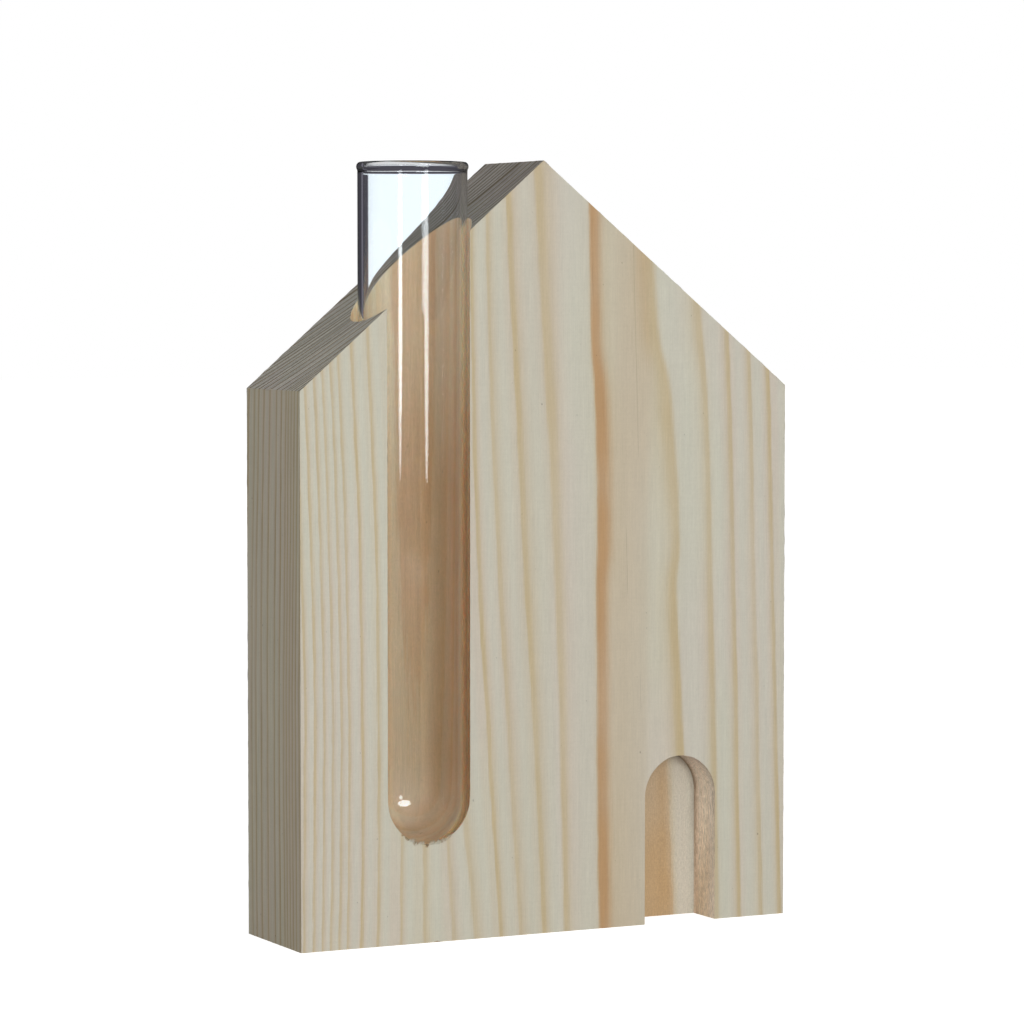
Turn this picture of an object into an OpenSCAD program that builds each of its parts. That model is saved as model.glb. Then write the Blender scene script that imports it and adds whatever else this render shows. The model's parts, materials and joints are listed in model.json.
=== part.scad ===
/* [House block] */
// Width of the block across its front
block_w = 100; // [85:1:140]
// Thickness of the board, front to back
block_t = 24; // [21:0.5:40]
// Height of the side walls up to the eaves
eave_h = 100.5; // [80:0.5:120]
// Height of the ridge above the eaves
roof_rise = 41.5; // [20:0.5:60]
// How far the ridge lies to the left of the middle
ridge_lean = 1.3; // [0:0.1:10]

/* [Tube bore] */
// Left side wall to the axis of the bore
bore_inset = 25.4; // [16:0.1:36]
// Front face to the axis of the bore, less than the bore's radius so that it opens
bore_setback = 7.4; // [4:0.1:9]
// Wood left under the round end of the bore
bore_floor = 15.3; // [5:0.1:40]
// Radius of the bore less the radius of the tube
tube_clearance = 1.1; // [0.3:0.1:2]
// Share of that gap by which the loose tube stands to the right of the bore's axis
tube_shift_share = 0.27; // [-0.5:0.01:0.5]

/* [Doorway] */
// Width of the doorway
door_w = 15; // [8:0.5:24]
// Height of the doorway to the top of its round arch
door_h = 31.4; // [20:0.1:60]
// Depth of the doorway from the front face
door_depth = 8; // [2:0.5:16]
// Right side wall to the edge of the doorway
door_margin = 15; // [5:0.5:25]

/* [Glass tube] */
// Outside diameter of the tube
tube_d = 20; // [16:0.5:24]
// Whole length of the tube, round end to rim
tube_l = 126; // [100:1:150]
// Thickness of the glass
tube_wall = 1; // [0.7:0.1:1.4]
// Height of the rounded bead at the rim
bead_h = 1.7; // [1.3:0.1:4]
// How far the bead stands out from the tube
bead_proud = 0.2; // [0.1:0.1:0.6]
// Gap between the tube's round end and the end of the bore
seat_gap = 0.3; // [0.1:0.1:1]

/* [Hidden] */
$fn = 96;

// Cuts run past the faces that they open by this much
overrun = 1;

// The origin is at the middle of the block's base, with the front face towards -Y
block_left = -block_w / 2;
block_front = -block_t / 2;
ridge_h = eave_h + roof_rise;

// The bore and the tube are upright, and the tube stands a little aside in the bore
bore_x = block_left + bore_inset;
bore_y = block_front + bore_setback;
bore_r = tube_d / 2 + tube_clearance;
bore_centre_z = bore_floor + bore_r;
tube_x = bore_x + tube_clearance * tube_shift_share;

// The doorway is a straight opening under a half-round arch
door_x = block_w / 2 - door_margin - door_w / 2;
door_spring_z = door_h - door_w / 2;

// The tube stands on its round end, a seat gap above the end of the bore
tube_r = tube_d / 2;
tube_bottom_z = bore_floor + seat_gap;
tube_centre_z = tube_bottom_z + tube_r;
tube_top_z = tube_bottom_z + tube_l;
tube_inner_r = tube_r - tube_wall;
bead_middle_z = tube_top_z - bead_h / 2;
bead_w = tube_wall + bead_proud;

function gable_outline() = [
    [block_left, 0],
    [-block_left, 0],
    [-block_left, eave_h],
    [-ridge_lean, ridge_h],
    [block_left, eave_h],
];

// Extrudes a front view, drawn in X and Z, from one place in Y to another
module front_view(from_y, to_y) {
    translate([0, to_y, 0])
        rotate([90, 0, 0])
            linear_extrude(to_y - from_y)
                children();
}

// An upright round form with a half-round lower end
module round_ended(r, centre_z, top_z) {
    translate([0, 0, centre_z]) {
        sphere(r);
        cylinder(r = r, h = top_z - centre_z);
    }
}

module door_outline() {
    translate([door_x, door_spring_z])
        circle(d = door_w);
    translate([door_x - door_w / 2, -overrun])
        square([door_w, door_spring_z + overrun]);
}

module house_block() {
    color("#d9c9a6")
        difference() {
            front_view(block_front, -block_front)
                polygon(gable_outline());
            translate([bore_x, bore_y, 0])
                round_ended(bore_r, bore_centre_z, ridge_h + overrun);
            front_view(block_front - overrun, block_front + door_depth)
                door_outline();
        }
}

// One side of the fire-polished bead, drawn as radius and height: a flat-sided bar with round ends
module bead_profile() {
    bar_h = bead_h - bead_w;
    for (end_z = [bead_middle_z - bar_h / 2, bead_middle_z + bar_h / 2])
        translate([tube_inner_r + bead_w / 2, end_z])
            circle(d = bead_w);
    translate([tube_inner_r, bead_middle_z - bar_h / 2])
        square([bead_w, bar_h]);
}

module glass_tube() {
    color("#dfeef0", 0.35)
        translate([tube_x, bore_y, 0]) {
            difference() {
                round_ended(tube_r, tube_centre_z, bead_middle_z);
                round_ended(tube_inner_r, tube_centre_z, bead_middle_z + overrun);
            }
            rotate_extrude()
                bead_profile();
        }
}

house_block();
glass_tube();
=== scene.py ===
"""A wooden bud vase: a house-shaped pine block, and a glass test tube in a bore that opens at its front.

Everything is in metres in the model's own frame: +Z up, the origin in the middle of the block's
base, and the front face towards -Y. The values named here are in millimetres, where MM turns them
into metres, or in the plain units that their comments give.
"""
import json
import math
import random

import bmesh
import bpy
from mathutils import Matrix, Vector, noise


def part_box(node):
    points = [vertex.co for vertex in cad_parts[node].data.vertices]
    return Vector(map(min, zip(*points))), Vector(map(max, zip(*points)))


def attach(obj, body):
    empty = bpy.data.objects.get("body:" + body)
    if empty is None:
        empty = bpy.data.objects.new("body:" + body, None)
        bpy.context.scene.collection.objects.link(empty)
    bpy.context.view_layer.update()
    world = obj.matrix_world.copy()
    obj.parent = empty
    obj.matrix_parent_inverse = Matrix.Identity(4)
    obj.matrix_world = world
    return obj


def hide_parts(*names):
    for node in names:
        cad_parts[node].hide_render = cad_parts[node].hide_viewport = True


MM = 0.001
TINY = 0.001 * MM         # a length below this is none
NEAR = 0.1 * MM           # a face no further than this from a side of the block lies in it

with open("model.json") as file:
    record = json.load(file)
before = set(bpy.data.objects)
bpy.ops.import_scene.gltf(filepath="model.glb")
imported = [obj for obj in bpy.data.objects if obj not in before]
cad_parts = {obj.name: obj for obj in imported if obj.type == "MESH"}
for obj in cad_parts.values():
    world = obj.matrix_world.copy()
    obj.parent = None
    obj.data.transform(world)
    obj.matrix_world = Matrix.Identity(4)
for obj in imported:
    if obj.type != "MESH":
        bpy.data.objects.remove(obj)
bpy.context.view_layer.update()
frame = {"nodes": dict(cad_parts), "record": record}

# The block's own box, and the tube's box, axis and bore, come from the frame
BLOCK_LOW, BLOCK_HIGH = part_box("house_block")
TUBE_LOW, TUBE_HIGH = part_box("glass_tube")
MOUTH = next(mount for mount in frame["record"]["mounts"] if mount["name"] == "tube_mouth")
AXIS_X, AXIS_Y = MOUTH["pos_m"][0], MOUTH["pos_m"][1]
TUBE_BORE = MOUTH["dims"]["r_mm"] * MM
BEAD_PROUD = 0.2 * MM     # how far the bead at the tube's mouth stands out from its side
TUBE_SIDE = AXIS_Y - TUBE_LOW.y - BEAD_PROUD
FRONT = BLOCK_LOW.y

# The bead's half height and half width, the angles in degrees that its round runs from and to, and how far
# its neck lies below and beside its middle, in parts of those halves
BEAD_HIGH, BEAD_WIDE = 0.85 * MM, 0.75 * MM
BEAD_ROUND = (-28, 208)
NECK_DOWN, NECK_OUT = 0.5, 0.866
# Below the neck: the corner and the end of the bend into the wall, and the wall's next point, in millimetres
OUTER_BEND = (0.15, 0.5, 0.9)
INNER_BEND = (0.4, 0.8, 1.2)
ABOVE_FOOT = 0.4 * MM     # from the top of the foot's round to the wall's first point
# Steps of the foot's round outside and inside, of the bead, of a bend and of a whole turn of the tube
FOOT_OUTSIDE_STEPS, FOOT_INSIDE_STEPS, BEAD_STEPS, BEND_STEPS, TURN_STEPS = 48, 44, 40, 6, 192

# Camera, as the photograph was taken: place in metres, turn in degrees, lens in millimetres
CAMERA_AT = (-0.3326, -0.6530, 0.1195)
CAMERA_PITCH = -3.308
CAMERA_YAW = -26.872
CAMERA_LENS = 138.65
CAMERA_SENSOR = 36
CAMERA_NEAR = 0.01        # nearest distance that it shows, in metres

# Lamps: turn in degrees to the right of straight in front of the tube, distance and height in metres,
# width and height in metres, and power in watts. The key lights the wood. The others only show in the
# glass, as its two light streaks and, from the high box, the glint in its foot.
KEY = dict(turn=-12, distance=1.0, height=0.22, size=(0.60, 0.40), power=5.2)
FRONT_STRIP = dict(turn=4.4, distance=1.0, height=0.117, size=(0.15, 0.168), power=0.42)
LEFT_STRIP = dict(turn=-50.8, distance=1.0, height=0.127, size=(0.12, 0.13), power=0.19)
HIGH_BOX = dict(turn=-3, distance=0.96, height=0.36, size=(0.55, 0.28), power=3.6)
LAMP_WHITE = (1.0, 1.0, 1.0)
STREAK_WHITE = (0.92, 0.98, 1.0)  # colour of the lamps that show in the glass

# The room, with levels of 0 for black and 1 for white
FILL = (0.54, 0.30)       # brightness as light, from the front and from the back
FILL_TURN = (-0.5, 0.5)   # sines towards the back between which the first turns into the second
STUDIO = 0.03             # brightness in reflections
BACKDROP = 1.22           # brightness of the white backdrop straight through clear glass
SEEN_THROUGH = (0.88, 0.96, 1.0)  # its tint there
BACKDROP_TOP = (0.06, 0.12)   # sine of the height over which that backdrop fades out
# Black cards behind the glass, which draw its dark edges: from and to in degrees right of straight back
CARDS = ((-15.0, 13.6), (38.0, 65.5))
CARD_HEIGHT = (-0.052, 0.040)   # sine of their lower and upper edges
CARD_EDGE = 1.5           # how soft their upright edges are, in degrees
CARD_TOP_EDGE = 0.006     # how soft their lower and upper edges are, as a sine
CARD_LEVEL = 0.05         # their brightness, the least that shows through the glass
PALE_STRIP = (-18.0, -9.5)      # a pale strip beside the left card, in the same degrees
PALE_STRIP_LEVEL = 0.16
SHADE = (0.96, 0.92, 1.12)      # tint of the dark parts
SHADE_TO_WHITE = (0.1, 0.9)     # between these levels that tint turns into the backdrop's
WHITE = (1.0, 1.0, 1.0, 1.0)

# The table: metres from its middle to its edge, its colour as lit and in reflections, and its own light
# where it is looked at
TABLE_HALF = 4.0
TABLE_COLOUR = 0.8
TABLE_IN_GLASS = 0.15
TABLE_GLOW = 0.75

# Worn edges of the block, in millimetres
EDGE_STEP = 0.6           # longest piece of an edge between two points that wear can move
LIP_STEP = 0.2            # the same along the bore's lower lip
EDGE_WIDTH = 0.14
EDGE_WEAR = 0.09          # depth of the wear, and its length along the edge
EDGE_WEAR_LENGTH = 1.6
ROOF_WEAR = 3.5           # how much rougher the roof's back edge is
DENT_LENGTH = 9           # length of the rare deeper dents, the noise that they begin at, and their depth
DENT_START = 0.45
DENT_DEPTH = 0.4
DENT_OFFSET = Vector((7, 3, 1))   # keeps them from following the wear
SHARP = math.radians(20)  # edges sharper than this are worn
SMOOTH = 0.9995           # where the normals beside a chamfer agree by less than this cosine is a curve
FLAT = math.radians(0.1)  # faces that meet at less than this angle are joined to one
STRAIGHT = 0.99           # part of a normal along an axis from which on the face looks along it
SQUARE = 0.01             # and below which it stands square to it
SLOPE = 0.5               # part of a normal upwards that only the roof has, and the bore's foot

# Wood torn out along the front edge of the bore and the doorway, in millimetres:
# place across and height, half width and depth of each tear
TEARS = (
    (-25.05, 18.1, 0.55, 0.75),
    (-29.0, 19.2, 0.7, 0.30),
    (-27.4, 18.6, 0.6, 0.30),
    (-22.2, 18.4, 0.4, 0.25),
    (25.2, 31.0, 0.6, 0.35),
)
TEAR_REACH = 2.5                  # how far above and below its height a tear can be
TORN_LIP = (-30.2, -20.2, 21.0)   # where the bore's lower lip is ragged: from, to and greatest height
LIP_MARGIN = 1.0                  # how far past it the steps are short, and from its left end to the fibres
LIP_NEAR = 0.01 * MM              # a point no further behind the front than this is on its edge
TORN_TEETH = 0.24                 # depth and width of the teeth there
TOOTH_WIDTH = 0.32
TOOTH_ROW = 4.5                   # which row of the noise they follow
DEEP_TEAR = 0.28                  # from this depth a tear shows brown wood, darkened by painted shade
# Torn fibres along that lip: length, half width, lean across, lean to the front, and shift along the lip;
# then the corners of a fibre's base, in its half widths across and millimetres back and up, and its faces
# as the corners that they join, where the last is the tip
FIBRE_SEED = 3
FIBRE_LENGTH = (0.25, 0.85)
FIBRE_HALF_WIDTH = (0.06, 0.12)
FIBRE_LEAN = (-0.5, 0.9)
FIBRE_FORWARD = -0.3
FIBRE_SHIFT = (-0.1, 0.1)
FIBRE_BASE = ((-1, 0.02, -0.25), (1, 0.02, -0.30), (0, 0.14, -0.25))
FIBRE_FACES = ((0, 2, 1), (0, 1, 3), (1, 2, 3), (2, 0, 3))

# Growth rings: place of an upright pith line behind the block, and radii about it, in millimetres
PITH = (16.8, 72.0)
RING_RADII = (
    56, 58, 60.5, 62.5, 64, 66.5, 68, 70, 71.5, 73, 74.6, 76.32, 78.4, 80.6, 82.6, 84.24,
    85.44, 86.8, 88.3, 89.7, 91.5, 92.8, 94.5, 96.5, 98.8, 100.5, 102, 102.9, 103.9, 104.9, 106, 107.2, 109,
)
LINE_REACH = 0.60         # how far a dark line fades out towards the pith, in millimetres
LINE_STRENGTH = (0.65, 0.35)  # least strength of a plain line, and how much chance adds to it
RED_LINES = (11, 15)      # which lines are reddish, counted from the innermost
RED_REACH = (2.2, 0.60)   # how many times as far as the others those two fade out
YELLOW_REACH = (0.44, 0.64)   # the same for the outer of the two, right of the pith, where it is yellow
YELLOW_ACROSS = (0.655, 0.715)  # between these shares of the block's width it turns from red to yellow
YELLOW_RISE = (72.0, 96.0)    # between these heights it grows from the first reach to the second
RED_IN_LINE = (0.35, 0.85)    # between these amounts of latewood the reddish colour comes in
PALE_BAND = (1.0, 2.0, 0.7)   # pale wood inside a line, from and to in its reaches, and how soft it ends
# Amount of latewood by the distance from its line, in parts of its reach: towards the pith, and away
TOWARDS_PITH = ((0, 0.85), (0.08, 1), (0.28, 0.88), (0.38, 0.70), (0.5, 0.42), (0.62, 0.22), (0.78, 0.08),
                (1, 0))
FROM_PITH = ((0, 0.85), (0.05, 0.6), (0.14, 0.15), (0.25, 0), (1, 0))
# How the grain leans across the block's width: share of the width, millimetres per millimetre up.
# Each RANGE holds the least and the greatest value that the curve before it can take.
LEAN = ((0, 0.026), (0.3, 0.028), (0.39, 0.060), (0.46, 0.060), (0.52, 0.038), (0.60, 0.018), (0.72, 0.06),
        (0.77, 0.07), (0.85, 0.040), (1, 0.026))
LEAN_RANGE = (0.0, 0.1)
# How the grain bows there: share of the width, millimetres at the bow's reach from the level height
BOW = ((0, -1.3), (0.2, -1.2), (0.35, 1.0), (0.40, 0.4), (0.5, 0), (0.6, -0.25), (0.84, -0.3), (1, 0.2))
BOW_RANGE = (-2.0, 2.0)
BOW_REACH = 60.0
LEVEL = 65.0
# How the rings are drawn aside there: share of the width, millimetres
ASIDE = ((0, 0), (0.49, 0), (0.54, 0), (0.62, 0.8), (0.70, -1.5), (0.76, -3.0), (0.84, -1.7), (0.89, -0.5),
         (0.94, 0.5), (1, 0.7))
ASIDE_RANGE = (-4.0, 2.0)
# How the two reddish lines swell to the right at mid height: share of the block's height, millimetres;
# where across they do, with soft ends, and from where to where that grows from the third value to the fourth
SWELL = ((0, 0), (0.43, 0), (0.52, 1), (0.68, 1), (0.79, -0.3), (0.88, -0.35), (1, -0.3))
SWELL_RANGE = (-1.0, 1.0)
SWELL_ACROSS = (9.0, 31.0)
SWELL_ENDS = 8.0
SWELL_GROWS = (12.0, 24.0, 1.0, 1.5)
WANDER = 0.9              # how far the rings wander, and how far a cut tears them, in millimetres
RAGGED = 0.9
# How warm the wood between the lines is across the block's width: share of the width, 0 to 1
HEART = ((0, 0.15), (0.34, 0.25), (0.40, 0.45), (0.49, 0.55), (0.53, 0), (0.57, 0.35), (0.62, 0.35),
         (0.66, 0.85), (0.70, 0.65), (0.735, 0), (0.78, 0.1), (1, 0.05))
# The doorway's recess: its middle, the height where its arch springs, its half width and its back wall
DOORWAY_X = 27.5
DOORWAY_SPRING = 23.9
DOORWAY_HALF = 7.5
RECESS_BACK = -4.0
CORNER_FADE = (0.1, 1.3)      # how far from its inner corner the painted shade there fades out, in millimetres
CORNER_WOBBLE = 1.6
CORNER_RISE = (8.0, 24.0, 0.45, 1.0)   # between which heights it grows, and from what to what
GLOW_REACH = (5.0, 3.8, 2.8)  # how far red, green and blue light spread through the wood, in millimetres
# Fine cracks along the grain: place across at the level height, lowest and highest point, in millimetres
CRACKS = ((19.2, 88, 128), (10.5, 117, 122.5), (16.2, 62, 74), (18.4, 40, 47))
CRACK_LEAN = 0.03         # millimetres to the left for each millimetre up
CRACK_HALF = 0.05         # half a crack's width, and how soft its sides and its ends are
CRACK_SIDE = 0.08
CRACK_END = 2.0
BACK, UP = 1, 2           # axes of a place

# Noises: bumps for each millimetre across, back and up, detail and roughness.
# The first three move the rings and the painted shade in the doorway's inner corner, and the next three
# colour the wood.
WANDERING = ((0.08, 0.08, 0.03), 2.0, 0.5)
TEARING = ((3.0, 3.0, 0.14), 3.0, 0.7)
WOBBLING = ((1.2, 1.2, 0.5), 3.0, 0.5)
FADING = ((0.06, 0.06, 0.035), 2.0, 0.5)
BLUSH = ((0.10, 0.10, 0.015), 1.0, 0.5)
AMBER = ((0.30, 0.30, 0.03), 2.0, 0.5)
FINE_FIBRES = ((7.0, 7.0, 0.15), 3.0, 0.6)
COARSE_FIBRES = ((1.1, 1.1, 0.02), 2.0, 0.5)
MOTTLING = ((0.5, 0.5, 0.25), 3.0, 0.5)
WEAVE = ((2.8, 2.8, 2.2), 3.0, 0.7)
SANDING = ((0.12, 0.12, 3.5), 2.0, 0.5)
TUFTS = ((5.5, 5.5, 1.0), 3.0, 0.7)
GRIT = ((3.0, 3.0, 3.0), 2.0, 0.5)
SPECKS = ((1.5, 1.5, 1.0), 0.0, 0.5)
RIPPLES = ((0.35, 0.35, 0.05), 1.0, 0.5)
STREAK_BUMPS = (2.4, 0.06)    # bumps of the streaks for each millimetre of radius, and up
# Levels of a noise between which it takes effect
WIDE, MIDDLE, NARROW = (0.2, 0.8), (0.25, 0.75), (0.3, 0.7)
BLUSH_FROM = (0.42, 0.60)
AMBER_FROM = (0.4, 0.6)
SPECK_FROM = (0.84, 0.90)
FADED = (0.75, 1.2)           # the rings' contrast where it is faded, and where it is full
PALE_SHARE = 0.4              # how pale the pale wood inside a line is, 0 to 1
# How much of the shade these take away and add
FINE_SHADE, COARSE_SHADE, MOTTLE_SHADE, WEAVE_SHADE, SANDING_SHADE = 0.08, 0.022, 0.015, 0.035, 0.01
SPECK_SHADE, CRACK_SHADE = 0.65, 0.78     # shade of a speck and of a crack
ROUGHNESS_CHANGE = 0.06       # how much the fibres add to the roughness and take away
WOOD_SPECULAR = 0.3
RELIEF = 0.03                 # depth of the grain's relief in millimetres, and the shares in it
FIBRE_RELIEF, LATEWOOD_RELIEF, PORE_RELIEF = 0.5, 0.5, 8.0
GLASS_INDEX = 1.5
GLASS_RIPPLE = 0.0002         # height of the glass's ripples, in millimetres


def rgb(red, green, blue):
    """A colour given in display values of 0 to 255, as linear RGBA."""
    def linear(value):
        share = value / 255
        return share / 12.92 if share <= 0.04045 else ((share + 0.055) / 1.055) ** 2.4
    return (linear(red), linear(green), linear(blue), 1.0)


EARLYWOOD = rgb(198, 193, 175)
EARLYWOOD_PINK = rgb(199, 190, 176)
EARLYWOOD_PALE = rgb(195, 197, 184)
EARLYWOOD_WARM = rgb(192, 180, 159)
LATEWOOD = rgb(189, 172, 138)
LATEWOOD_YELLOW = rgb(188, 170, 134)
LATEWOOD_RED = rgb(181, 145, 104)
# colour of the painted shade in the doorway's inner corner
CORNER_PAINTED_SHADE = rgb(116, 86, 60)
GLASS_TINT = rgb(253, 254, 255)
GLASS_CLEAR = rgb(250, 252, 252)


class Shader:
    """The node tree of one material or world, wired by short calls."""

    def __init__(self, owner):
        owner.use_nodes = True
        self.tree = owner.node_tree
        self.tree.nodes.clear()

    def add(self, kind, **values):
        node = self.tree.nodes.new(kind)
        for name, value in values.items():
            setattr(node, name, value)
        return node

    def put(self, socket, value):
        """Links an output to a socket, or sets the socket to a plain value."""
        if isinstance(value, bpy.types.NodeSocket):
            self.tree.links.new(value, socket)
        elif value is not None:
            socket.default_value = value

    def math(self, operation, first, second=None, third=None):
        node = self.add("ShaderNodeMath", operation=operation)
        for socket, value in zip(node.inputs, (first, second, third)):
            self.put(socket, value)
        return node.outputs[0]

    def most(self, *values):
        """The greatest of several values."""
        best = values[0]
        for value in values[1:]:
            best = self.math("MAXIMUM", best, value)
        return best

    def product(self, *values):
        """Several values multiplied together."""
        total = values[0]
        for value in values[1:]:
            total = self.math("MULTIPLY", total, value)
        return total

    def length(self, first, second):
        """The length of a line that goes so far one way and so far square to it."""
        squares = self.math("ADD", self.product(first, first), self.product(second, second))
        return self.math("SQRT", squares)

    def swing(self, value, amount):
        """Turns a value of about 0 to 1 into one that swings about 0 by half the amount."""
        return self.math("MULTIPLY", self.math("SUBTRACT", value, 0.5), amount)

    def vector(self, x, y, z):
        node = self.add("ShaderNodeCombineXYZ")
        for socket, value in zip(node.inputs, (x, y, z)):
            self.put(socket, value)
        return node.outputs[0]

    def parts(self, vector):
        """The three components of a vector."""
        node = self.add("ShaderNodeSeparateXYZ")
        self.put(node.inputs[0], vector)
        return node.outputs

    def place(self):
        """The place in the object, in millimetres."""
        coordinates = self.add("ShaderNodeTexCoord")
        return self.scaled(coordinates.outputs["Object"], 1 / MM, 1 / MM, 1 / MM)

    def scaled(self, vector, x, y, z):
        node = self.add("ShaderNodeVectorMath", operation="MULTIPLY")
        self.put(node.inputs[0], vector)
        node.inputs[1].default_value = (x, y, z)
        return node.outputs[0]

    def noise(self, vector, detail, roughness):
        """Smooth noise of about 0 to 1, one bump for each unit of the vector."""
        node = self.add("ShaderNodeTexNoise", noise_dimensions="3D")
        self.put(node.inputs["Vector"], vector)
        node.inputs["Scale"].default_value = 1.0
        node.inputs["Detail"].default_value = detail
        node.inputs["Roughness"].default_value = roughness
        return node.outputs["Fac"]

    def grain(self, at, kind):
        """One of the named noises at a place in millimetres."""
        bumps, detail, roughness = kind
        return self.noise(self.scaled(at, *bumps), detail, roughness)

    def spread(self, value, low, high, to_low=0.0, to_high=1.0):
        """Maps low..high to to_low..to_high, held at both ends."""
        node = self.add("ShaderNodeMapRange", clamp=True)
        for socket, item in zip(node.inputs, (value, low, high, to_low, to_high)):
            self.put(socket, item)
        return node.outputs[0]

    def vary(self, value, low, high, amount):
        """Maps low..high to 1 less the amount..1 plus the amount, held at both ends."""
        return self.spread(value, low, high, 1 - amount, 1 + amount)

    def within(self, value, low, high, edge):
        """1 from low to high, and 0 outside, with soft edges of the given width."""
        rising = self.spread(value, low - edge / 2, low + edge / 2)
        falling = self.spread(value, high - edge / 2, high + edge / 2, 1.0, 0.0)
        return self.math("MULTIPLY", rising, falling)

    def curve(self, value, points, low, high, straight=False):
        """A curve through points whose first value runs from 0 to 1, with values low to high."""
        node = self.add("ShaderNodeFloatCurve")
        line = node.mapping.curves[0]
        for index, (place, level) in enumerate(points):
            height = (level - low) / (high - low)
            if index < 2:
                line.points[index].location = (place, height)
            else:
                line.points.new(place, height)
        for point in line.points:
            point.handle_type = "VECTOR" if straight else "AUTO"
        node.mapping.extend = "HORIZONTAL"
        node.mapping.update()
        self.put(node.inputs["Value"], value)
        return self.math("MULTIPLY_ADD", node.outputs[0], high - low, low)

    def blend(self, factor, first, second, mode="MIX"):
        node = self.add("ShaderNodeMix", data_type="RGBA", blend_type=mode)
        self.put(node.inputs[0], factor)
        self.put(node.inputs[6], first)
        self.put(node.inputs[7], second)
        return node.outputs[2]

    def bump(self, height, distance):
        """A normal for bumps of a height of 0 to 1, where 1 is the given distance in millimetres."""
        node = self.add("ShaderNodeBump")
        node.inputs["Strength"].default_value = 1.0
        node.inputs["Distance"].default_value = distance * MM
        self.put(node.inputs["Height"], height)
        return node.outputs[0]


def growth_rings(shader, at, ragged):
    """Where a place lies among the rings.

    The number of the last dark line inward, how far off it and the next one are, the radius about the
    pith, the share of the block's width across, and the height.
    """
    x, y, z = shader.parts(at)
    width = (BLOCK_HIGH.x - BLOCK_LOW.x) / MM
    across = shader.math("MULTIPLY_ADD", x, 1 / width, 0.5)
    lean = shader.curve(across, LEAN, *LEAN_RANGE)
    bow = shader.curve(across, BOW, *BOW_RANGE)
    aside = shader.curve(across, ASIDE, *ASIDE_RANGE)
    rise = shader.math("SUBTRACT", z, LEVEL)
    reach = shader.math("POWER", shader.math("ABSOLUTE", shader.math("DIVIDE", rise, BOW_REACH)), 2.0)
    shift = shader.math("SUBTRACT", shader.math("MULTIPLY", lean, rise), shader.math("MULTIPLY", bow, reach))
    wander = shader.swing(shader.grain(at, WANDERING), WANDER)
    torn = shader.swing(shader.grain(at, TEARING), RAGGED * ragged)
    shift = shader.math("ADD", shader.math("ADD", shift, aside), shader.math("ADD", wander, torn))
    swell = shader.curve(shader.math("DIVIDE", z, BLOCK_HIGH.z / MM), SWELL, *SWELL_RANGE)
    swell = shader.product(swell, shader.spread(x, *SWELL_GROWS), shader.within(x, *SWELL_ACROSS, SWELL_ENDS))
    shift = shader.math("SUBTRACT", shift, swell)
    right = shader.math("SUBTRACT", shader.math("ADD", x, shift), PITH[0])
    back = shader.math("SUBTRACT", PITH[1], y)
    radius = shader.length(right, back)

    first, last = RING_RADII[0], RING_RADII[-1]
    count = len(RING_RADII) - 1
    place = shader.math("DIVIDE", shader.math("SUBTRACT", radius, first), last - first)
    points = [((ring - first) / (last - first), number) for number, ring in enumerate(RING_RADII)]
    number = shader.math("FLOOR", shader.curve(place, points, 0.0, float(count), straight=True))
    lines = [(number / count, ring) for number, ring in enumerate(RING_RADII)]
    inner = shader.curve(shader.math("DIVIDE", number, count), lines, first, last, straight=True)
    after = shader.math("DIVIDE", shader.math("ADD", number, 1.0), count)
    outer = shader.curve(after, lines, first, last, straight=True)
    from_last, to_next = shader.math("SUBTRACT", radius, inner), shader.math("SUBTRACT", outer, radius)
    return dict(number=number, from_last=from_last, to_next=to_next, radius=radius, across=across, up=z)


def beside_line(shader, rings, line, distance, fade, broad):
    """The latewood beside one dark line, how reddish it is and how far it reaches."""
    draw = shader.add("ShaderNodeTexWhiteNoise", noise_dimensions="1D")
    shader.put(draw.inputs["W"], line)
    inner, outer = (shader.math("COMPARE", line, float(red), 0.5) for red in RED_LINES)
    # The outer reddish line is yellow right of the pith, and broader there towards the ridge
    yellow = shader.product(outer, shader.spread(rings["across"], *YELLOW_ACROSS))
    broader = shader.spread(rings["up"], *YELLOW_RISE, *(reach - RED_REACH[1] for reach in YELLOW_REACH))
    reach = shader.math("MULTIPLY_ADD", inner, RED_REACH[0] - 1.0, 1.0)
    reach = shader.math("MULTIPLY_ADD", outer, RED_REACH[1] - 1.0, reach)
    reach = shader.math("MULTIPLY_ADD", yellow, broader, reach)
    reach = shader.math("MULTIPLY", reach, LINE_REACH * broad)
    amount = shader.curve(shader.math("DIVIDE", distance, reach), fade, 0.0, 1.0, straight=True)
    least, chance = LINE_STRENGTH
    strength = shader.math("MULTIPLY_ADD", draw.outputs["Value"], chance, least)
    amount = shader.math("MULTIPLY", amount, shader.most(strength, inner, outer))
    red = shader.math("SUBTRACT", shader.math("ADD", inner, outer), yellow)
    return amount, red, reach


def latewood(shader, rings, broad):
    """Returns the amount of dark latewood, how reddish it is, and how much pale wood lies just inside it."""
    last, after = rings["number"], shader.math("ADD", rings["number"], 1.0)
    inside, inside_red, reach = beside_line(shader, rings, after, rings["to_next"], TOWARDS_PITH, broad)
    outside, outside_red, _ = beside_line(shader, rings, last, rings["from_last"], FROM_PITH, broad)
    late = shader.math("MAXIMUM", inside, outside)
    red = shader.math("MAXIMUM", inside_red,
                      shader.math("MULTIPLY", outside_red, shader.math("GREATER_THAN", outside, inside)))
    red = shader.math("MULTIPLY", red, shader.spread(late, *RED_IN_LINE))
    pale = shader.within(shader.math("DIVIDE", rings["to_next"], reach), *PALE_BAND)
    return late, red, pale


def cracks(shader, at):
    """Fine dark cracks along the grain, 0 to 1."""
    x, y, z = shader.parts(at)
    rise = shader.math("SUBTRACT", z, LEVEL)
    line = shader.math("ADD", x, shader.math("MULTIPLY", rise, CRACK_LEAN))
    found = []
    for place, low, high in CRACKS:
        across = shader.within(line, place - CRACK_HALF, place + CRACK_HALF, CRACK_SIDE)
        found.append(shader.product(across, shader.within(z, low, high, CRACK_END)))
    return shader.most(*found)


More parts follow.
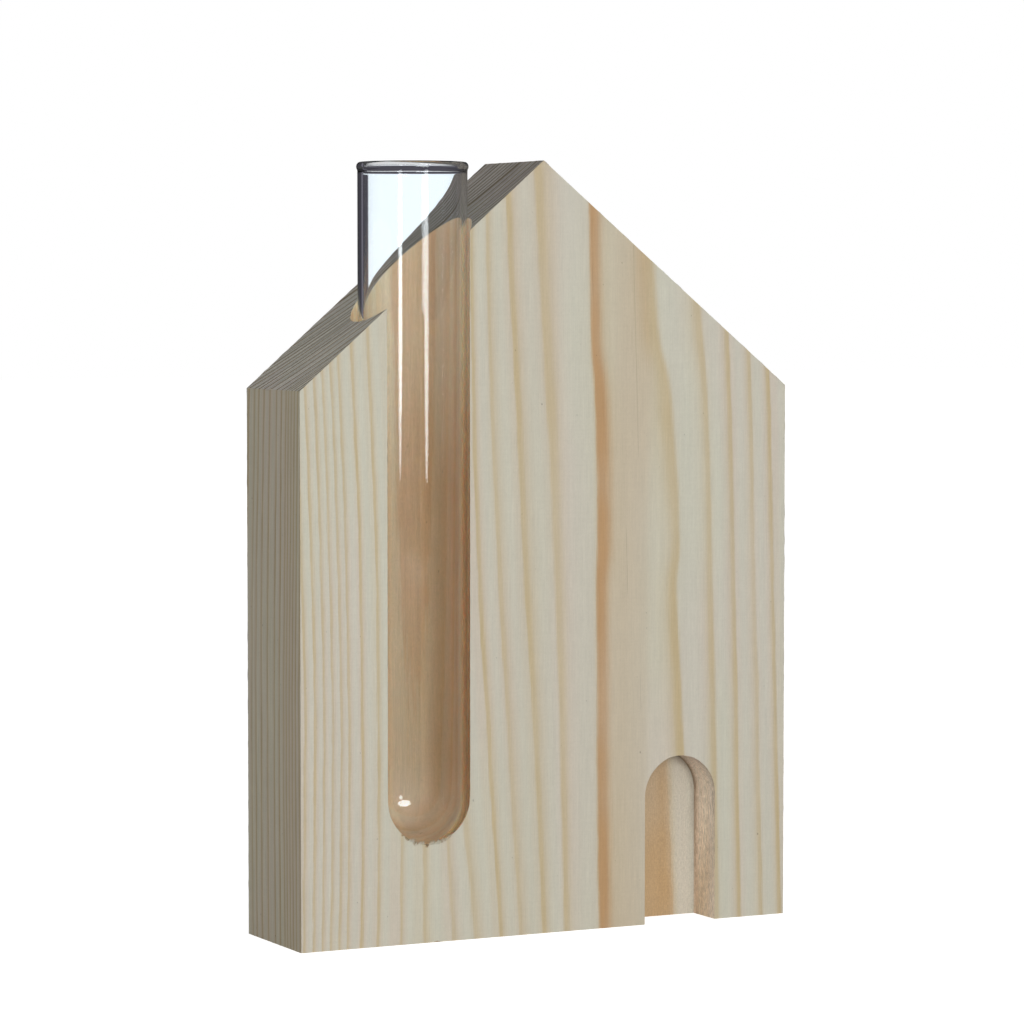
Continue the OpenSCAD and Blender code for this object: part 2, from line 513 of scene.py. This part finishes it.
def painted_corner_shade(shader, at):
    """Painted shade in the inner corner of the doorway's recess: how near that corner is, 0 to 1, and fainter
    towards its foot.
    """
    x, y, z = shader.parts(at)
    beside = shader.math("SUBTRACT", x, DOORWAY_X)
    above = shader.math("MAXIMUM", shader.math("SUBTRACT", z, DOORWAY_SPRING), 0.0)
    out = shader.length(beside, above)
    from_side = shader.math("ABSOLUTE", shader.math("SUBTRACT", DOORWAY_HALF, out))
    from_back = shader.math("ABSOLUTE", shader.math("SUBTRACT", RECESS_BACK, y))
    off = shader.math("ADD", from_side, from_back)
    off = shader.math("ADD", off, shader.swing(shader.grain(at, WOBBLING), CORNER_WOBBLE))
    close = shader.spread(off, *CORNER_FADE, 1.0, 0.0)
    return shader.math("MULTIPLY", close, shader.spread(z, *CORNER_RISE))


def pine(name, shade=(1, 1, 1), turns=(), roughness=0.6, contrast=1.0, reddish=1.0, stain=0.0,
         broad=1.0, ragged=1.0, fibres=1.0, fuzz=0.0, pores=0.0, streaks=0.0, corner=0.0, glow=0.0):
    """Pine with upright growth rings.

    One cut differs from another in its shade, in how strong, reddish, dark, broad and ragged its rings are,
    in how much its fibres, fuzz, pores and fine streaks between the rings show, in how much painted shade
    darkens the doorway's inner corner, and in how much light comes to it through the wood. The turns paint
    light and shade onto it by place: each gives an axis, from where to where along it in millimetres the
    shade turns, and what it is multiplied by from there on.
    """
    material = bpy.data.materials.new(name)
    shader = Shader(material)
    at = shader.place()
    rings = growth_rings(shader, at, ragged)
    late, red, pale = latewood(shader, rings, broad)
    faded, full = (level * contrast for level in FADED)
    late = shader.product(late, shader.spread(shader.grain(at, FADING), *NARROW, faded, full))
    late = shader.math("MINIMUM", late, 1.0)

    early = shader.blend(shader.spread(shader.grain(at, BLUSH), *BLUSH_FROM), EARLYWOOD, EARLYWOOD_PINK)
    heart = shader.curve(rings["across"], HEART, 0.0, 1.0)
    early = shader.blend(heart, early, EARLYWOOD_WARM)
    early = shader.blend(shader.math("MULTIPLY", pale, PALE_SHARE), early, EARLYWOOD_PALE)
    summer = shader.blend(shader.spread(shader.grain(at, AMBER), *AMBER_FROM), LATEWOOD, LATEWOOD_YELLOW)
    summer = shader.blend(shader.math("MULTIPLY", red, reddish), summer, LATEWOOD_RED)
    colour = shader.blend(late, early, summer)

    # Fine streaks follow the rings. Everything else follows the block.
    fine, grit = shader.grain(at, FINE_FIBRES), shader.grain(at, GRIT)
    streak_out = shader.math("MULTIPLY", rings["radius"], STREAK_BUMPS[0])
    streak_up = shader.math("MULTIPLY", rings["up"], STREAK_BUMPS[1])
    streak = shader.noise(shader.vector(streak_out, 0.0, streak_up), detail=2.0, roughness=0.6)
    value = shader.product(
        shader.vary(streak, *NARROW, streaks),
        shader.vary(fine, *WIDE, FINE_SHADE * fibres),
        shader.vary(shader.grain(at, COARSE_FIBRES), *MIDDLE, COARSE_SHADE * fibres),
        shader.vary(shader.grain(at, MOTTLING), *MIDDLE, MOTTLE_SHADE),
        shader.vary(shader.grain(at, WEAVE), *MIDDLE, WEAVE_SHADE),
        shader.vary(shader.grain(at, SANDING), *NARROW, SANDING_SHADE),
        shader.vary(shader.grain(at, TUFTS), *MIDDLE, fuzz),
        shader.vary(grit, *MIDDLE, pores),
        shader.spread(shader.grain(at, SPECKS), *SPECK_FROM, 1.0, SPECK_SHADE),
        shader.spread(cracks(shader, at), 0.0, 1.0, 1.0, CRACK_SHADE),
        shader.spread(late, 0.0, 1.0, 1.0, 1 - stain),
    )
    colour = shader.blend(1.0, colour, shader.vector(value, value, value), "MULTIPLY")
    colour = shader.blend(1.0, colour, (*shade, 1.0), "MULTIPLY")
    # The turns paint light and shade onto the wood by place
    for axis, start, end, tint in turns:
        along = shader.spread(shader.parts(at)[axis], start, end)
        colour = shader.blend(along, colour, shader.blend(1.0, colour, (*tint, 1.0), "MULTIPLY"))
    # Painted shade in the doorway's inner corner
    colour = shader.blend(shader.math("MULTIPLY", painted_corner_shade(shader, at), corner), colour, CORNER_PAINTED_SHADE)

    surface = shader.add("ShaderNodeBsdfPrincipled")
    shader.put(surface.inputs["Base Color"], colour)
    smooth, rough = roughness - ROUGHNESS_CHANGE, roughness + ROUGHNESS_CHANGE
    shader.put(surface.inputs["Roughness"], shader.spread(fine, *WIDE, smooth, rough))
    surface.inputs["Specular IOR Level"].default_value = WOOD_SPECULAR
    surface.inputs["Subsurface Weight"].default_value = glow
    surface.inputs["Subsurface Radius"].default_value = GLOW_REACH
    surface.inputs["Subsurface Scale"].default_value = MM
    raised = shader.math("MULTIPLY", fine, FIBRE_RELIEF * fibres)
    relief = shader.math("ADD", raised, shader.math("MULTIPLY", late, LATEWOOD_RELIEF))
    relief = shader.math("ADD", relief, shader.math("MULTIPLY", grit, PORE_RELIEF * pores))
    shader.put(surface.inputs["Normal"], shader.bump(relief, RELIEF))
    output = shader.add("ShaderNodeOutputMaterial")
    shader.put(output.inputs["Surface"], surface.outputs[0])
    return material


def planed_pine():
    """The sanded front and back."""
    return pine("planed_pine")


def side_pine():
    """The sanded left and right sides, which cut straight across the rings, in a warmer, darker shade that is
    painted shade.
    """
    # Painted shade: the sides' warmer, darker shade
    return pine("side_pine", shade=(0.98, 0.95, 0.91), stain=0.14, broad=1.3, ragged=0.7, streaks=0.05)


def sawn_pine():
    """The end grain of the roof and the base: greyer, with rough dark rings, and darker towards the ridge by
    painted shade.
    """
    # Painted shade that darkens the roof towards the ridge
    turns = ((UP, 108, 134, (0.70, 0.70, 0.73)),)
    return pine("sawn_pine", shade=(0.91, 0.92, 0.99), turns=turns, roughness=0.85, contrast=1.5, reddish=0.0,
                stain=0.5, ragged=0.6, fibres=0.6, pores=0.22, streaks=0.45)


def bored_pine():
    """The wall of the bore, browned by the drill, painted lighter as a stand-in for the light that reaches
    it, and lit through the wood in front of it too.
    """
    # Painted light and shade: darker across the middle of the bore's wall, lighter towards its front, and
    # lighter towards its mouth and its foot
    turns = ((BACK, 5.0, 2.5, (0.88, 0.79, 0.74)),
             (BACK, 1.5, -2.0, (1.35, 1.28, 1.28)),
             (BACK, -4.0, -9.0, (0.95, 1.16, 1.34)),
             (UP, 82, 104, (1.12, 1.26, 1.46)),
             (UP, 32, 21, (1.14, 1.20, 1.30)))
    return pine("bored_pine", shade=(1.32, 1.04, 0.80), turns=turns, roughness=0.5, contrast=0.45, broad=2.0,
                ragged=2.0, fibres=1.5, fuzz=0.07, pores=0.06, glow=0.75)


def routed_pine():
    """The back of the doorway's recess, lighter towards its foot by painted light, and with painted shade in
    its inner corner.
    """
    # Painted light towards the foot of the recess
    turns = ((UP, 26, 4, (1.10, 1.11, 1.12)),)
    return pine("routed_pine", shade=(1.0, 1.03, 1.03), turns=turns, roughness=0.75, contrast=0.85,
                reddish=0.85, ragged=2.4, fuzz=0.14, pores=0.08, corner=0.4)


def jamb_pine():
    """The sides and the arch of the doorway's recess, where the cutter raised the fibres; painted light makes
    them lighter towards their foot and their front, and painted shade darker towards the back and in the
    inner corner.
    """
    # Painted light towards the foot and the front, and painted shade towards the back of the recess
    turns = ((UP, 24, 0, (1.30, 1.28, 1.27)),
             (BACK, -7.5, -5.0, (0.80, 0.77, 0.71)),
             (BACK, -8.5, -10.5, (1.05, 1.10, 1.20)))
    return pine("jamb_pine", shade=(1.16, 1.02, 0.94), turns=turns, roughness=0.85, contrast=0.1, ragged=1.5,
                fibres=1.5, fuzz=0.46, pores=0.08, corner=0.65)


def torn_pine_painted_shade():
    """The bottom of the deeper tears: brown like the bore's wall, and darker by painted shade."""
    return pine("torn_pine_painted_shade", shade=(0.66, 0.53, 0.42), roughness=0.9, contrast=0.5, pores=0.1)


def worn_pine():
    """The narrow rounded edges, rubbed pale."""
    return pine("worn_pine", shade=(1.08, 1.06, 1.04), roughness=0.7, contrast=0.6, fibres=1.5, pores=0.05)


BLOCK_MATERIALS = (planed_pine, side_pine, sawn_pine, bored_pine, routed_pine, jamb_pine, torn_pine_painted_shade,
                   worn_pine)
PLANED, SIDE, SAWN, BORED, ROUTED, JAMB, TORN, WORN = range(len(BLOCK_MATERIALS))


def clear_glass():
    """Thin clear laboratory glass, which lets the lamps through to the wood behind it."""
    material = bpy.data.materials.new("clear_glass")
    shader = Shader(material)
    ripple = shader.grain(shader.place(), RIPPLES)
    surface = shader.add("ShaderNodeBsdfPrincipled")
    surface.inputs["Base Color"].default_value = GLASS_TINT
    surface.inputs["Transmission Weight"].default_value = 1.0
    surface.inputs["IOR"].default_value = GLASS_INDEX
    surface.inputs["Roughness"].default_value = 0.0
    shader.put(surface.inputs["Normal"], shader.bump(ripple, GLASS_RIPPLE))
    clear = shader.add("ShaderNodeBsdfTransparent")
    clear.inputs["Color"].default_value = GLASS_CLEAR
    path = shader.add("ShaderNodeLightPath")
    mix = shader.add("ShaderNodeMixShader")
    # Light on its way to the wood goes straight through, from lamps and from the room alike
    shader.put(mix.inputs[0], shader.most(path.outputs["Is Shadow Ray"], path.outputs["Is Diffuse Ray"]))
    shader.put(mix.inputs[1], surface.outputs[0])
    shader.put(mix.inputs[2], clear.outputs[0])
    output = shader.add("ShaderNodeOutputMaterial")
    shader.put(output.inputs["Surface"], mix.outputs[0])
    return material


def new_piece(name, mesh, body, node, materials):
    """Adds a mesh as the shown piece that stands for a CAD node."""
    piece = bpy.data.objects.new(name, mesh)
    bpy.context.scene.collection.objects.link(piece)
    for material in materials:
        mesh.materials.append(material)
    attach(piece, body)
    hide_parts(node)
    return piece


def cut_of(face):
    """Which cut of the wood a face of the block belongs to."""
    middle, normal = face.calc_center_median(), face.normal
    from_front_to_back = abs(normal.y) < SQUARE
    if abs(normal.y) > STRAIGHT and min(abs(middle.y - BLOCK_LOW.y), abs(middle.y - BLOCK_HIGH.y)) < NEAR:
        return PLANED
    if abs(normal.x) > STRAIGHT and min(abs(middle.x - BLOCK_LOW.x), abs(middle.x - BLOCK_HIGH.x)) < NEAR:
        return SIDE
    if from_front_to_back and normal.z < -STRAIGHT and middle.z < NEAR:
        return SAWN
    above_foot = middle.x > 0 or middle.z > TUBE_LOW.z + TUBE_SIDE
    if from_front_to_back and normal.z > SLOPE and above_foot:
        return SAWN
    if middle.x < 0:
        return BORED
    return ROUTED if abs(normal.y) > STRAIGHT else JAMB


def sharp_edges(shape):
    """The block's sharp edges that stand out."""
    return [edge for edge in shape.edges if edge.calc_face_angle(0) > SHARP and edge.is_convex]


def divide(edge, step):
    """Cuts an edge into equal parts no longer than the step."""
    count = math.ceil(edge.calc_length() / step)
    start = edge.verts[0]
    for left in range(count, 1, -1):
        start = bmesh.utils.edge_split(edge, start, 1 / left)[1]


def is_front(face):
    return face.normal.y < -STRAIGHT and abs(face.calc_center_median().y - FRONT) < NEAR


def torn_depth(place):
    """How much further the front's edge is torn back at a place, in metres."""
    x, z = place.x / MM, place.z / MM
    depth = 0.0
    for tear_x, tear_z, half, deep in TEARS:
        if abs(z - tear_z) < TEAR_REACH:
            depth += deep * max(0.0, 1 - abs(x - tear_x) / half)
    low, high, top = TORN_LIP
    if low < x < high and z < top:
        depth += TORN_TEETH * abs(noise.noise(Vector((x / TOOTH_WIDTH, 0, TOOTH_ROW)))) * 2
    return depth * MM


def wear_edges(chamfers):
    """Makes the chamfers uneven by moving their borders within the flat faces beside them."""
    strip = set(chamfers)
    moves = []
    for vert in {vert for face in chamfers for vert in face.verts}:
        flats = [face for face in vert.link_faces if face not in strip]
        torn = torn_depth(vert.co) if vert.co.y < FRONT + 2 * EDGE_WIDTH * MM else 0.0
        curved = flats and any(face.normal.dot(flats[0].normal) < SMOOTH for face in flats)
        if not flats or curved and torn < DEEP_TEAR * MM:
            continue
        away = Vector()
        for edge in vert.link_edges:
            if all(face in strip for face in edge.link_faces):
                away += vert.co - edge.other_vert(vert).co
        normal = sum((face.normal for face in flats), Vector()).normalized()
        away -= normal * away.dot(normal)
        if away.length < TINY:
            continue
        ripple = noise.noise(vert.co / (EDGE_WEAR_LENGTH * MM))
        dent = max(0.0, noise.noise(vert.co / (DENT_LENGTH * MM) + DENT_OFFSET) - DENT_START)
        rough = ROOF_WEAR if flats[0].normal.z > SLOPE and vert.co.y > 0 else 1.0
        amount = 0.0 if curved else (EDGE_WEAR * rough * ripple + DENT_DEPTH * dent) * MM
        if curved or is_front(flats[0]):
            amount += torn
            # Deeper torn faces take the brown wood that is darkened by painted shade
            if torn > DEEP_TEAR * MM:
                for face in strip.intersection(vert.link_faces):
                    face.material_index = TORN
        moves.append((vert, away.normalized() * amount))
    for vert, move in moves:
        vert.co += move


def splinters(shape, roots):
    """Short torn fibres that stand up from the bore's lower lip, each a thin closed sliver."""
    chance = random.Random(FIBRE_SEED)
    for root in roots:
        lean = chance.uniform(*FIBRE_LEAN)
        length = chance.uniform(*FIBRE_LENGTH) * MM
        half = chance.uniform(*FIBRE_HALF_WIDTH) * MM
        root = root + Vector((chance.uniform(*FIBRE_SHIFT), 0, 0)) * MM
        tip = root + Vector((lean, FIBRE_FORWARD, 1.0)).normalized() * length
        base = [root + Vector((side * half, back * MM, up * MM)) for side, back, up in FIBRE_BASE]
        corners = [shape.verts.new(point) for point in (*base, tip)]
        for picks in FIBRE_FACES:
            face = shape.faces.new([corners[pick] for pick in picks])
            face.material_index = WORN


def wooden_block():
    """The house-shaped block, with worn edges and torn fibres."""
    mesh = bpy.data.meshes.new("pine_house")
    shape = bmesh.new()
    shape.from_mesh(frame["nodes"]["house_block"].data)
    bmesh.ops.remove_doubles(shape, verts=shape.verts, dist=TINY)
    bmesh.ops.dissolve_limit(shape, angle_limit=FLAT, verts=shape.verts, edges=shape.edges)
    for face in shape.faces:
        face.material_index = cut_of(face)
    low, high, top = TORN_LIP
    for edge in sharp_edges(shape):
        middle = (edge.verts[0].co + edge.verts[1].co) / 2 / MM
        beside = low - LIP_MARGIN < middle.x < high + LIP_MARGIN and middle.y < 0
        ragged = beside and LIP_MARGIN < middle.z < top + LIP_MARGIN
        divide(edge, (LIP_STEP if ragged else EDGE_STEP) * MM)
    bevelled = bmesh.ops.bevel(shape, geom=sharp_edges(shape), offset=EDGE_WIDTH * MM, offset_type="OFFSET",
                               segments=2, profile=0.5, affect="EDGES", clamp_overlap=True, material=WORN)
    shape.normal_update()
    wear_edges(bevelled["faces"])
    places = sorted({tuple(vert.co) for face in bevelled["faces"] for vert in face.verts})
    lip = [Vector((x, y, z)) for x, y, z in places
           if low + LIP_MARGIN < x / MM < high and TUBE_LOW.z < z < top * MM and y < FRONT + LIP_NEAR]
    splinters(shape, [place for place in lip if torn_depth(place) < DEEP_TEAR * MM])
    for face in shape.faces:
        face.smooth = True
    shape.to_mesh(mesh)
    shape.free()
    materials = [make() for make in BLOCK_MATERIALS]
    piece = new_piece("pine_house", mesh, "block", "house_block", materials)
    weighted = piece.modifiers.new("even_shading", "WEIGHTED_NORMAL")
    weighted.mode = "FACE_AREA_WITH_ANGLE"
    weighted.weight = 100
    return piece


def arc(centre, radii, start, end, steps):
    """Points (radius out, height) on an ellipse round a centre, from one angle to another, in degrees."""
    for step in range(steps + 1):
        angle = math.radians(start + (end - start) * step / steps)
        yield (centre[0] + radii[0] * math.cos(angle), centre[1] + radii[1] * math.sin(angle))


def bend(start, corner, end, steps):
    """Points on a smooth bend from start to end that heads for the corner between them."""
    for step in range(steps + 1):
        share = step / steps
        yield tuple((1 - share) ** 2 * a + 2 * share * (1 - share) * b + share ** 2 * c
                    for a, b, c in zip(start, corner, end))


def tube_outline():
    """The tube's wall in section, from the outside of its foot to the inside of its foot."""
    outer, inner, top = TUBE_SIDE, TUBE_BORE, TUBE_HIGH.z
    foot = (0, TUBE_LOW.z + outer)
    bead = (outer + BEAD_PROUD - BEAD_WIDE, top - BEAD_HIGH)
    below = bead[1] - NECK_DOWN * BEAD_HIGH
    beside = NECK_OUT * BEAD_WIDE
    corner, end, wall = ((outer, below - down * MM) for down in OUTER_BEND)
    points = list(arc(foot, (outer, outer), -90, 0, FOOT_OUTSIDE_STEPS))
    points.append((outer, foot[1] + ABOVE_FOOT))
    points.append(wall)
    points += bend(end, corner, (bead[0] + beside, below), BEND_STEPS)
    points += arc(bead, (BEAD_WIDE, BEAD_HIGH), *BEAD_ROUND, BEAD_STEPS)
    corner, end, wall = ((inner, below - down * MM) for down in INNER_BEND)
    points += bend((bead[0] - beside, below), corner, end, BEND_STEPS)
    points.append(wall)
    points.append((inner, foot[1] + ABOVE_FOOT))
    points += arc(foot, (inner, inner), 0, -90, FOOT_INSIDE_STEPS)
    return points


def lathe(name, outline, turns):
    """A closed surface turned about the tube's axis from an outline that begins and ends on it."""
    mesh = bpy.data.meshes.new(name)
    shape = bmesh.new()
    rows = []
    for out, height in outline:
        if out < TINY:
            rows.append([shape.verts.new((AXIS_X, AXIS_Y, height))])
            continue
        row = []
        for turn in range(turns):
            angle = 2 * math.pi * turn / turns
            place = (AXIS_X + out * math.cos(angle), AXIS_Y + out * math.sin(angle), height)
            row.append(shape.verts.new(place))
        rows.append(row)
    for low, high in zip(rows, rows[1:]):
        for turn in range(turns):
            after = (turn + 1) % turns
            if len(low) == 1:
                shape.faces.new((low[0], high[after], high[turn]))
            elif len(high) == 1:
                shape.faces.new((low[turn], low[after], high[0]))
            else:
                shape.faces.new((low[turn], low[after], high[after], high[turn]))
    for face in shape.faces:
        face.smooth = True
    shape.normal_update()
    shape.to_mesh(mesh)
    shape.free()
    return mesh


def glass_tube():
    """The test tube, with its round foot and the bead at its mouth."""
    mesh = lathe("test_tube", tube_outline(), TURN_STEPS)
    return new_piece("test_tube", mesh, "tube", "glass_tube", [clear_glass()])


class Sight:
    """What kind of ray looks: each value is 0 or 1."""

    def __init__(self, shader):
        path = shader.add("ShaderNodeLightPath")
        passed = path.outputs["Is Transmission Ray"]
        reflected = shader.math("GREATER_THAN", path.outputs["Glossy Depth"], 0.5)
        self.camera = path.outputs["Is Camera Ray"]
        self.glossy = path.outputs["Is Glossy Ray"]
        self.mirrored = shader.math("MULTIPLY", passed, reflected)
        self.through = shader.math("SUBTRACT", passed, self.mirrored)


def room():
    """The room: white where it is looked at, brighter from the front as light, and dark in reflections."""
    world = bpy.data.worlds.new("studio")
    bpy.context.scene.world = world
    shader = Shader(world)
    sight = Sight(shader)
    x, y, z = shader.parts(shader.add("ShaderNodeTexCoord").outputs["Generated"])
    turn = shader.math("DEGREES", shader.math("ARCTAN2", x, y))
    cards = shader.most(*(shader.within(turn, low, high, CARD_EDGE) for low, high in CARDS))
    cards = shader.math("MULTIPLY", cards, shader.within(z, *CARD_HEIGHT, CARD_TOP_EDGE))
    backdrop = shader.spread(z, *BACKDROP_TOP, BACKDROP, 0.0)
    seen = shader.math("MULTIPLY", backdrop, shader.math("SUBTRACT", 1.0, cards))
    seen = shader.math("MAXIMUM", seen, CARD_LEVEL)
    strip = shader.math("MULTIPLY", shader.within(turn, *PALE_STRIP, CARD_EDGE), PALE_STRIP_LEVEL)
    strip = shader.math("MAXIMUM", strip, STUDIO)

    looks = shader.most(sight.camera, sight.glossy, sight.through, sight.mirrored)
    lit = shader.math("SUBTRACT", 1.0, looks)
    fill = shader.spread(y, *FILL_TURN, *FILL)
    level = shader.math("MULTIPLY_ADD", lit, fill, sight.camera)
    level = shader.math("MULTIPLY_ADD", sight.glossy, STUDIO, level)
    level = shader.math("MULTIPLY_ADD", sight.through, seen, level)
    level = shader.math("MULTIPLY_ADD", sight.mirrored, strip, level)
    background = shader.add("ShaderNodeBackground")
    through = shader.blend(shader.spread(seen, *SHADE_TO_WHITE), (*SHADE, 1.0), (*SEEN_THROUGH, 1.0))
    tint = shader.blend(sight.through, WHITE, through)
    shader.put(background.inputs["Color"], shader.blend(sight.mirrored, tint, (*SHADE, 1.0)))
    shader.put(background.inputs["Strength"], level)
    output = shader.add("ShaderNodeOutputWorld")
    shader.put(output.inputs["Surface"], background.outputs[0])


def floor():
    """A plain white table that keeps the vase's shadow."""
    mesh = bpy.data.meshes.new("table")
    corners = [(x * TABLE_HALF, y * TABLE_HALF, 0) for x, y in ((-1, -1), (1, -1), (1, 1), (-1, 1))]
    mesh.from_pydata(corners, [], [(0, 1, 2, 3)])
    table = bpy.data.objects.new("table", mesh)
    bpy.context.scene.collection.objects.link(table)
    material = bpy.data.materials.new("white_table")
    shader = Shader(material)
    paint = shader.add("ShaderNodeBsdfDiffuse")
    sight = Sight(shader)
    mirrored = shader.most(sight.glossy, sight.mirrored)
    grey = shader.spread(mirrored, 0.0, 1.0, TABLE_COLOUR, TABLE_IN_GLASS)
    shader.put(paint.inputs["Color"], shader.vector(grey, grey, grey))
    glow = shader.add("ShaderNodeEmission")
    glow.inputs["Color"].default_value = WHITE
    seen = shader.most(sight.camera, sight.through)
    shader.put(glow.inputs["Strength"], shader.math("MULTIPLY", seen, TABLE_GLOW))
    both = shader.add("ShaderNodeAddShader")
    shader.put(both.inputs[0], paint.outputs[0])
    shader.put(both.inputs[1], glow.outputs[0])
    output = shader.add("ShaderNodeOutputMaterial")
    shader.put(output.inputs["Surface"], both.outputs[0])
    mesh.materials.append(material)


def lamp(name, turn, distance, height, size, power, reflects):
    """An oval soft box that faces the tube's axis. It either lights the wood or shows in the glass."""
    data = bpy.data.lights.new(name, "AREA")
    data.shape = "ELLIPSE"
    data.size, data.size_y = size
    data.energy = power
    data.color = STREAK_WHITE if reflects else LAMP_WHITE
    box = bpy.data.objects.new(name, data)
    angle = math.radians(turn)
    box.location = (AXIS_X + distance * math.sin(angle), AXIS_Y - distance * math.cos(angle), height)
    aim = Vector((AXIS_X, AXIS_Y, (BLOCK_LOW.z + BLOCK_HIGH.z) / 2)) - box.location
    box.rotation_euler = aim.to_track_quat("-Z", "Y").to_euler()
    box.visible_camera = False
    box.visible_diffuse = not reflects
    box.visible_glossy = reflects
    box.visible_transmission = reflects
    bpy.context.scene.collection.objects.link(box)


def camera():
    """The camera where the photograph was taken from."""
    data = bpy.data.cameras.new("camera")
    data.lens = CAMERA_LENS
    data.sensor_width = CAMERA_SENSOR
    data.clip_start = CAMERA_NEAR
    eye = bpy.data.objects.new("camera", data)
    eye.location = CAMERA_AT
    eye.rotation_euler = (math.radians(90 + CAMERA_PITCH), 0, math.radians(CAMERA_YAW))
    bpy.context.scene.collection.objects.link(eye)
    bpy.context.scene.camera = eye


bpy.context.scene.view_settings.view_transform = "Standard"
camera()
room()
floor()
lamp("key", reflects=False, **KEY)
lamp("front_strip", reflects=True, **FRONT_STRIP)
lamp("left_strip", reflects=True, **LEFT_STRIP)
lamp("high_box", reflects=True, **HIGH_BOX)
wooden_block()
glass_tube()
